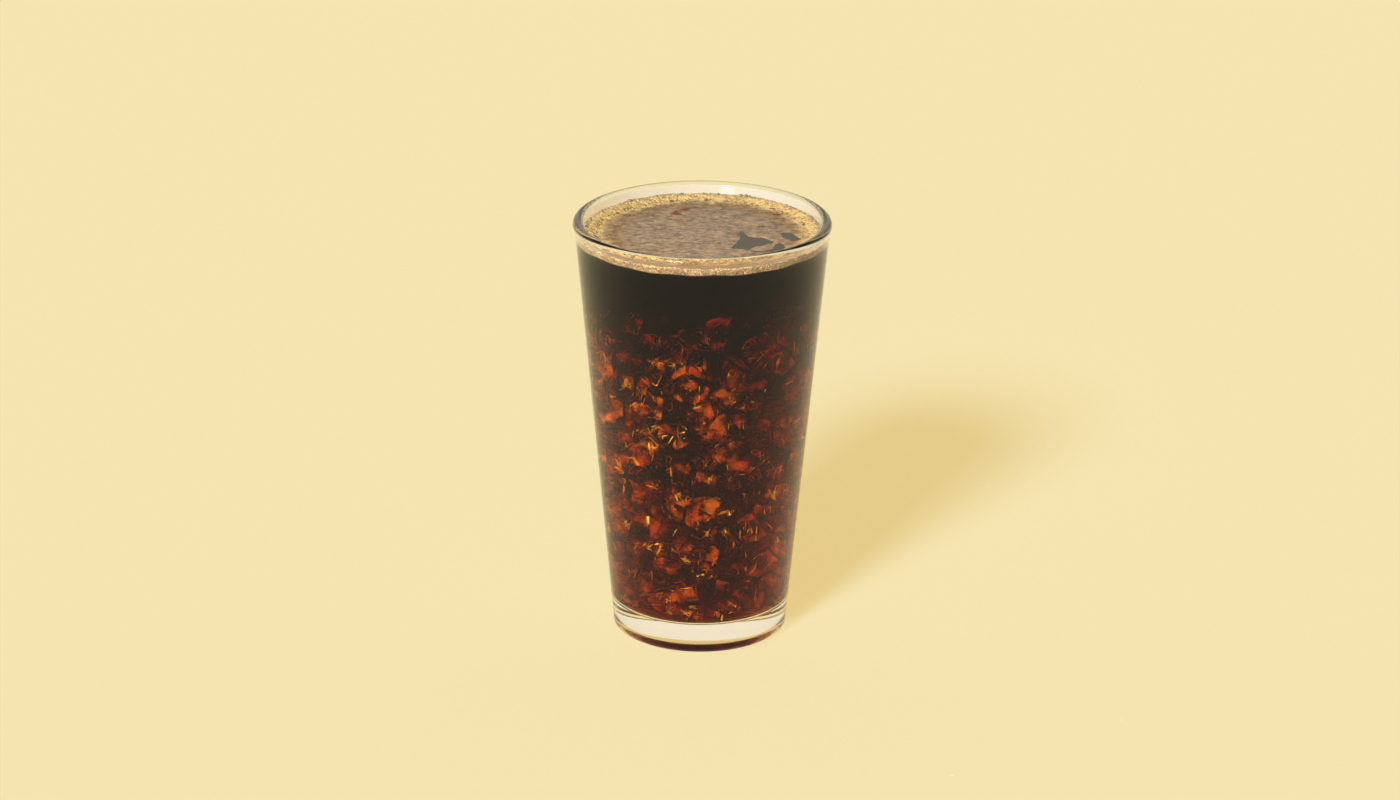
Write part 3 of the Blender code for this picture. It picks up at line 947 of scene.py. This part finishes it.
def bubble_mesh(name, centres, radii, looks):
    """Many small round bubbles as one mesh."""
    ball = bmesh.new()
    bmesh.ops.create_icosphere(ball, subdivisions=2, radius=1.0)
    shape = np.array([v.co[:] for v in ball.verts])
    faces = np.array([[v.index for v in face.verts] for face in ball.faces])
    ball.free()
    places = (centres[:, None, :] + radii[:, None, None] * shape[None, :, :]).reshape(-1, 3)
    corners = (faces[None, :, :] + len(shape) * np.arange(len(radii))[:, None, None]).reshape(-1, 3)
    mesh = bpy.data.meshes.new(name)
    mesh.from_pydata(places.tolist(), [], corners.tolist())
    mesh.materials.append(looks)
    mesh.shade_smooth()
    piece = link(bpy.data.objects.new(name, mesh))
    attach(piece, "root")
    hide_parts("foam")


def build_foam_ring():
    """The golden ring of bubbles that climbs the wall."""
    rng = np.random.default_rng(FOAM_SEED + 1)
    wall = inner_radius(RING_TOP)

    def place_of(radius):
        reach = wall - radius + RING_REACH - RING_SPREAD * RING_WIDTH * rng.random() ** RING_CROWDING
        angle = 2.0 * math.pi * rng.random()
        height = foam_height(reach) - RING_SINK * radius
        return reach * math.cos(angle), reach * math.sin(angle), height

    centres, radii = scattered_bubbles(rng, RING_BUBBLES, place_of, RING_BUBBLE_SIZES)
    looks = foam_colours("foam_ring", FOAM_STOPS, FOAM_WANDER, mottle=0.12, softness=0.6 * MM,
                         roughness=0.18, patchwork=0.12)
    bubble_mesh("foam_ring", centres, radii, looks)


def build_foam_hem():
    """Small bubbles pressed against the wall, seen through the glass."""
    rng = np.random.default_rng(FOAM_SEED + 2)

    def place_of(radius):
        angle = 2.0 * math.pi * rng.random()
        slow, quick = HEM_WAVES_ROUND
        low = HEM_HEIGHT + HEM_WAVE * (math.sin(slow * angle) + math.sin(quick * angle + 1.0))
        height = low + radius
        if rng.random() > HEM_BEADS:
            height += HEM_LIFT + (RING_TOP - HEM_HEIGHT - HEM_LIFT - radius) * rng.random()
        reach = inner_radius(height) - radius + HEM_REACH
        return reach * math.cos(angle), reach * math.sin(angle), height

    centres, radii = scattered_bubbles(rng, HEM_BUBBLES, place_of, HEM_BUBBLE_SIZES)
    stops = [(0.0, HEM_CREAM), (1.0, HEM_CREAM)]
    looks = foam_colours("foam_hem", stops, wander=0.0, mottle=0.2, softness=0.3 * MM,
                         roughness=0.3, patchwork=0.3)
    bubble_mesh("foam_hem", centres, radii, looks)


def build_foam_body():
    """The foam's solid part behind the hem and under the ring, coloured dark as painted shade in the gaps
    between the bubbles.
    """
    wall = inner_radius(HEM_HEIGHT)
    low = HEM_HEIGHT + FOAM_BODY_LIFT
    sink, middle_sink = FOAM_BODY_SINKS
    profile = [(wall - RING_WIDTH, low), (wall - FOAM_BODY_INSET, low),
               (inner_radius(RING_TOP) - FOAM_BODY_INSET, RING_TOP - sink),
               (wall - 0.5 * RING_WIDTH, RING_TOP - middle_sink), (wall - RING_WIDTH, FOAM_TOP - sink)]
    ring = turned(profile + profile[:1], FOAM_BODY_SEGMENTS)
    # Painted shade: the foam body is dark so that the gaps between the hem's bubbles look shaded
    stops = [(0.0, HEM_PAINTED_SHADE), (1.0, HEM_PAINTED_SHADE)]
    looks = foam_colours("foam_body", stops, wander=0.0, mottle=0.15, softness=0.3 * MM, roughness=0.5)
    body = finished("foam_body", ring, [looks], sharp_degrees=40.0)
    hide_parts("foam")


def build_floor():
    half = FLOOR_HALF_WIDTH
    mesh = bpy.data.meshes.new("floor")
    corners = [(-half, -half, 0.0), (half, -half, 0.0), (half, half, 0.0), (-half, half, 0.0)]
    mesh.from_pydata(corners, [], [(0, 1, 2, 3)])
    floor = link(bpy.data.objects.new("floor", mesh))
    made, shader = principled("floor_paper")
    set_inputs(shader, Base_Color=(*FLOOR_COLOUR, 1.0), Roughness=1.0, Specular_IOR_Level=0.0,
               Emission_Color=(*FLOOR_GLOW, 1.0), Emission_Strength=1.0)
    mesh.materials.append(made)


def build_world():
    """Cream near the horizon and behind the glass, dark grey high up, and dim at the sides and in front."""
    world = bpy.data.worlds.new("studio")
    bpy.context.scene.world = world
    world.use_nodes = True
    tree = world.node_tree
    towards = parts_of(tree, tree.nodes.new("ShaderNodeTexCoord").outputs["Generated"])
    ramp = tree.nodes.new("ShaderNodeValToRGB")
    tree.links.new(towards["Z"], ramp.inputs["Fac"])
    fill_ramp(ramp, [(math.sin(math.radians(height)), colour) for height, colour in SKY])
    forward = soft_share(tree, towards["Y"], DIM_SIDES)
    raised = soft_share(tree, towards["Z"], [math.sin(math.radians(height)) for height in DIM_HEIGHTS])
    dimmed = reckoned(tree, "MULTIPLY", forward, raised)
    colour = mixed(tree, dimmed, ramp.outputs["Color"], (*DIM_COLOUR, 1.0))
    tree.links.new(colour, tree.nodes["Background"].inputs["Color"])


def build_key_light():
    lamp = bpy.data.lights.new("key", "SUN")
    lamp.energy = KEY_STRENGTH
    lamp.color = KEY_COLOUR
    lamp.angle = KEY_SPREAD
    key = link(bpy.data.objects.new("key", lamp))
    key.rotation_euler = Vector(KEY_DIRECTION).to_track_quat("Z", "Y").to_euler()


def build_camera():
    back = Vector((0.0, -math.cos(CAMERA_ELEVATION), math.sin(CAMERA_ELEVATION)))
    level_right = Vector((1.0, 0.0, 0.0))
    forward = (-back + level_right * AIM_RIGHT + level_right.cross(-back) * AIM_UP).normalized()
    right = forward.cross(Vector((0.0, 0.0, 1.0))).normalized()
    up = right.cross(forward)
    turned_right = right * math.cos(CAMERA_ROLL) + up * math.sin(CAMERA_ROLL)
    turned_up = up * math.cos(CAMERA_ROLL) - right * math.sin(CAMERA_ROLL)
    rotation = Matrix((turned_right, turned_up, -forward)).transposed()
    data = bpy.data.cameras.new("camera")
    data.sensor_width = SENSOR_WIDTH
    data.lens = FOCAL_PIXELS * SENSOR_WIDTH / PHOTO_WIDTH
    camera = link(bpy.data.objects.new("camera", data))
    camera.location = Vector(CAMERA_TARGET) + back * CAMERA_DISTANCE
    camera.rotation_euler = rotation.to_euler()
    bpy.context.scene.camera = camera


def set_light_paths():
    scene = bpy.context.scene
    scene.view_settings.view_transform = "Standard"
    scene.cycles.max_bounces = 32
    scene.cycles.transmission_bounces = 32
    scene.cycles.glossy_bounces = 12
    scene.cycles.transparent_max_bounces = 64


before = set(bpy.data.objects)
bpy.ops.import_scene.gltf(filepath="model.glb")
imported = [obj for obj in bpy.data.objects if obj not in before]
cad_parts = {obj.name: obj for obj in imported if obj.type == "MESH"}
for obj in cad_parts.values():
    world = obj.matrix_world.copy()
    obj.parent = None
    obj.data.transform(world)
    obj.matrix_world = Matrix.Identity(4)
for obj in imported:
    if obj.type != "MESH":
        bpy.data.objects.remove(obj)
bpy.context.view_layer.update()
build_camera()
build_world()
build_key_light()
build_floor()
build_glass()
build_drink()
build_bare_coffee()
build_foam_body()
build_foam_film()
build_foam_ring()
build_foam_hem()
set_light_paths()
